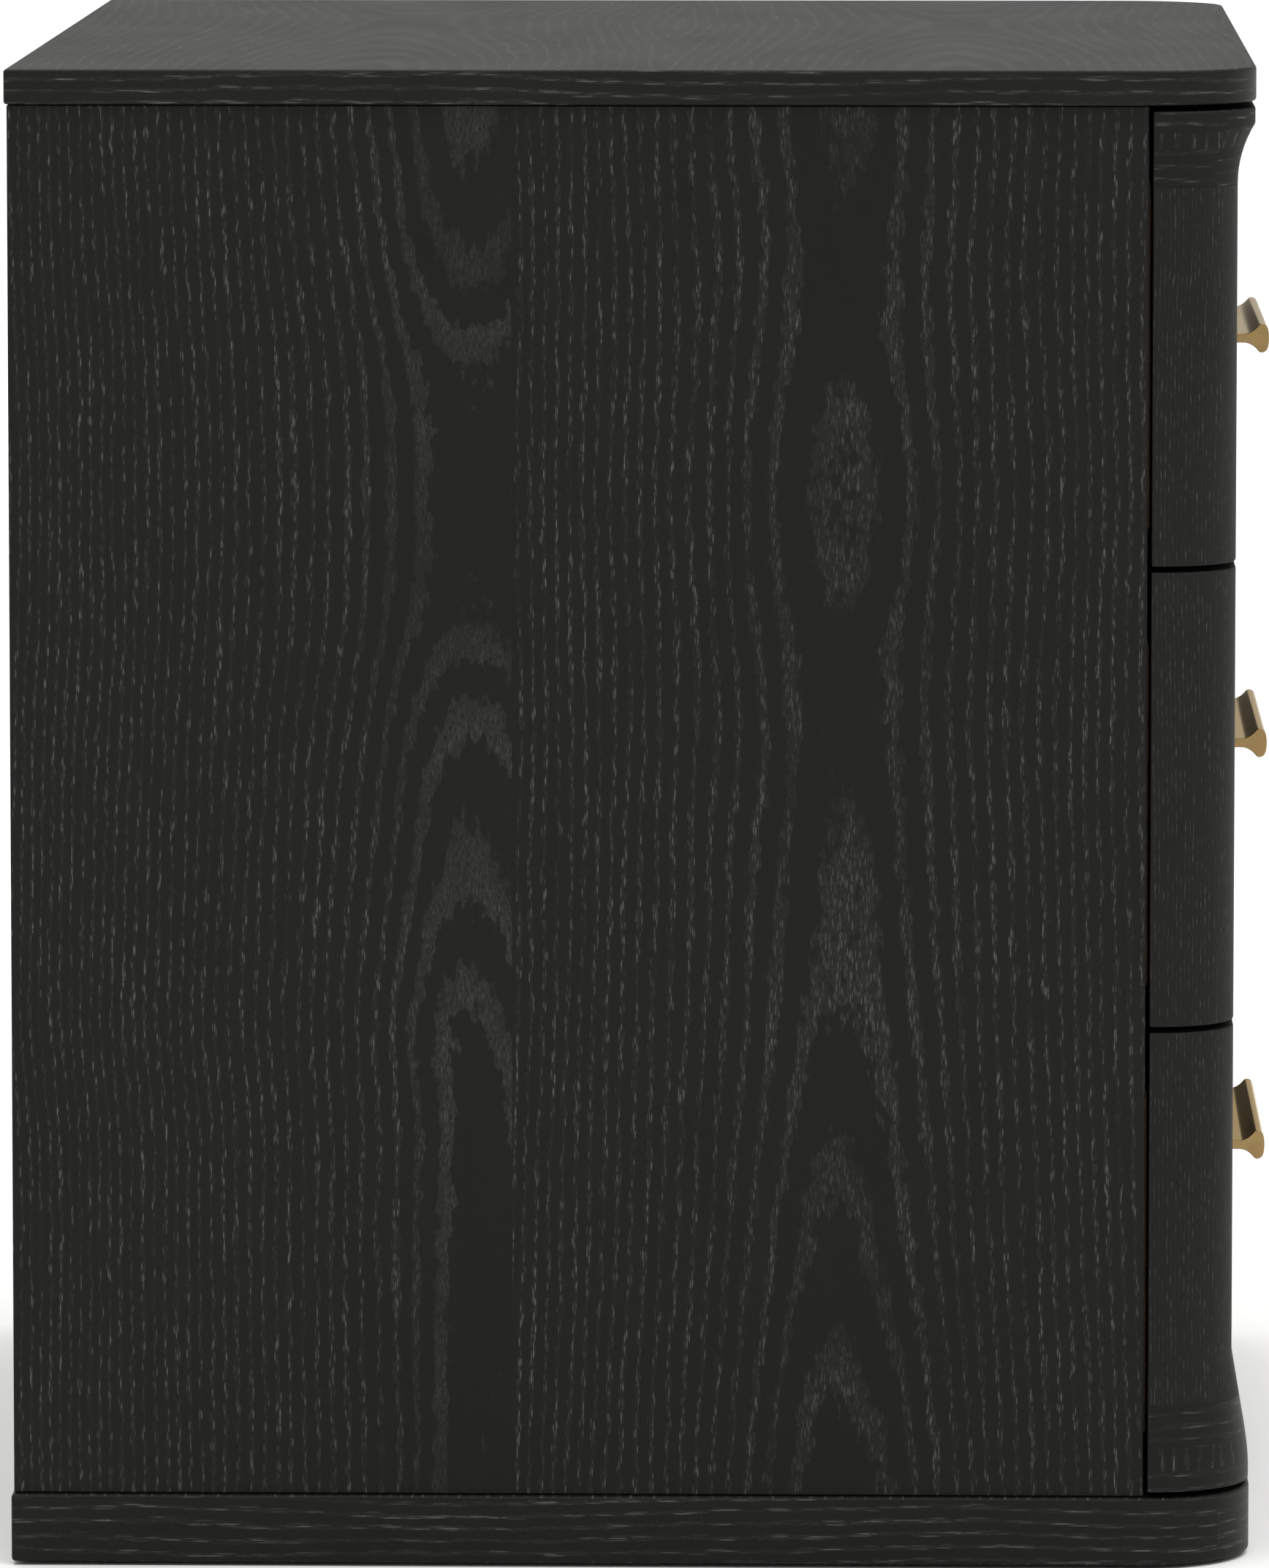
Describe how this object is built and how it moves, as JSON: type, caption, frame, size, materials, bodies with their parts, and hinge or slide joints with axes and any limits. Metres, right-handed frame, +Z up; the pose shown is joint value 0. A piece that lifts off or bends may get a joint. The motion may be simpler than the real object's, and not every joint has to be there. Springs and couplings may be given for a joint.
{
  "type": "nightstand",
  "caption": "Black-stained oak nightstand on a low plinth, with stacked drawers that have rounded ends, a coved crown, a flared base and horizontal brass bar pulls.",
  "frame": {"origin": "on the floor, at the middle of the box round the whole piece with the drawers shut and the pulls included", "axes": "+Z up, drawers face -Y and open towards -Y, +X to the right seen from the front"},
  "size_m": [0.632, 0.5112, 0.6035],
  "materials": {
    "stained_oak": "black-stained open-pore oak veneer, satin lacquer, fine pale pore lines",
    "case_interior": "black-stained board, matt",
    "drawer_wood": "clear-lacquered pale hardwood, satin",
    "brass": "satin brushed brass",
    "zinc_steel": "bright zinc-plated rolled steel",
    "nylon": "matt black nylon"
  },
  "bodies": {
    "carcass": {"plinth_left": "stained_oak", "left_side_panel": "stained_oak", "glide_front_left": "nylon", "glide_back_left": "nylon", "plinth_right": "stained_oak", "right_side_panel": "stained_oak", "glide_front_right": "nylon", "glide_back_right": "nylon", "plinth_front": "stained_oak", "plinth_back": "stained_oak", "top_panel": "stained_oak", "back_panel": "case_interior", "bottom_panel": "case_interior", "top_front_rail": "case_interior", "top_back_rail": "case_interior", "lower_divider_rail": "case_interior", "upper_divider_rail": "case_interior", "bottom_slide_left_cabinet_member": "zinc_steel", "bottom_slide_right_cabinet_member": "zinc_steel", "middle_slide_left_cabinet_member": "zinc_steel", "middle_slide_right_cabinet_member": "zinc_steel", "top_slide_left_cabinet_member": "zinc_steel", "top_slide_right_cabinet_member": "zinc_steel"},
    "bottom_drawer": {"bottom_drawer_front": "stained_oak", "base_moulding": "stained_oak", "bottom_pull": "brass", "bottom_drawer_box_front": "drawer_wood", "bottom_drawer_box_back": "drawer_wood", "bottom_drawer_box_left": "drawer_wood", "bottom_drawer_box_right": "drawer_wood", "bottom_drawer_box_bottom": "drawer_wood", "bottom_slide_left_drawer_member": "zinc_steel", "bottom_slide_right_drawer_member": "zinc_steel"},
    "bottom_slide_middles": {"bottom_slide_left_middle_member": "zinc_steel", "bottom_slide_right_middle_member": "zinc_steel"},
    "middle_drawer": {"middle_drawer_front": "stained_oak", "middle_pull": "brass", "middle_drawer_box_front": "drawer_wood", "middle_drawer_box_back": "drawer_wood", "middle_drawer_box_left": "drawer_wood", "middle_drawer_box_right": "drawer_wood", "middle_drawer_box_bottom": "drawer_wood", "middle_slide_left_drawer_member": "zinc_steel", "middle_slide_right_drawer_member": "zinc_steel"},
    "middle_slide_middles": {"middle_slide_left_middle_member": "zinc_steel", "middle_slide_right_middle_member": "zinc_steel"},
    "top_drawer": {"top_drawer_front": "stained_oak", "crown_moulding": "stained_oak", "top_pull": "brass", "top_drawer_box_front": "drawer_wood", "top_drawer_box_back": "drawer_wood", "top_drawer_box_left": "drawer_wood", "top_drawer_box_right": "drawer_wood", "top_drawer_box_bottom": "drawer_wood", "top_slide_left_drawer_member": "zinc_steel", "top_slide_right_drawer_member": "zinc_steel"},
    "top_slide_middles": {"top_slide_left_middle_member": "zinc_steel", "top_slide_right_middle_member": "zinc_steel"}
  },
  "joints": [
    {"name": "bottom_drawer_slide", "type": "slide", "parent": "carcass", "child": "bottom_drawer", "axis": [0, -1, 0], "range_m": [0, 0.39]},
    {"name": "bottom_slide_middles_slide", "type": "slide", "parent": "carcass", "child": "bottom_slide_middles", "axis": [0, -1, 0], "range_m": [0, 0.195]},
    {"name": "middle_drawer_slide", "type": "slide", "parent": "carcass", "child": "middle_drawer", "axis": [0, -1, 0], "range_m": [0, 0.39]},
    {"name": "middle_slide_middles_slide", "type": "slide", "parent": "carcass", "child": "middle_slide_middles", "axis": [0, -1, 0], "range_m": [0, 0.195]},
    {"name": "top_drawer_slide", "type": "slide", "parent": "carcass", "child": "top_drawer", "axis": [0, -1, 0], "range_m": [0, 0.39]},
    {"name": "top_slide_middles_slide", "type": "slide", "parent": "carcass", "child": "top_slide_middles", "axis": [0, -1, 0], "range_m": [0, 0.195]}
  ],
  "couplings": [
    {"joint": "bottom_slide_middles_slide", "follows": "bottom_drawer_slide", "ratio": 0.5},
    {"joint": "middle_slide_middles_slide", "follows": "middle_drawer_slide", "ratio": 0.5},
    {"joint": "top_slide_middles_slide", "follows": "top_drawer_slide", "ratio": 0.5}
  ]
}
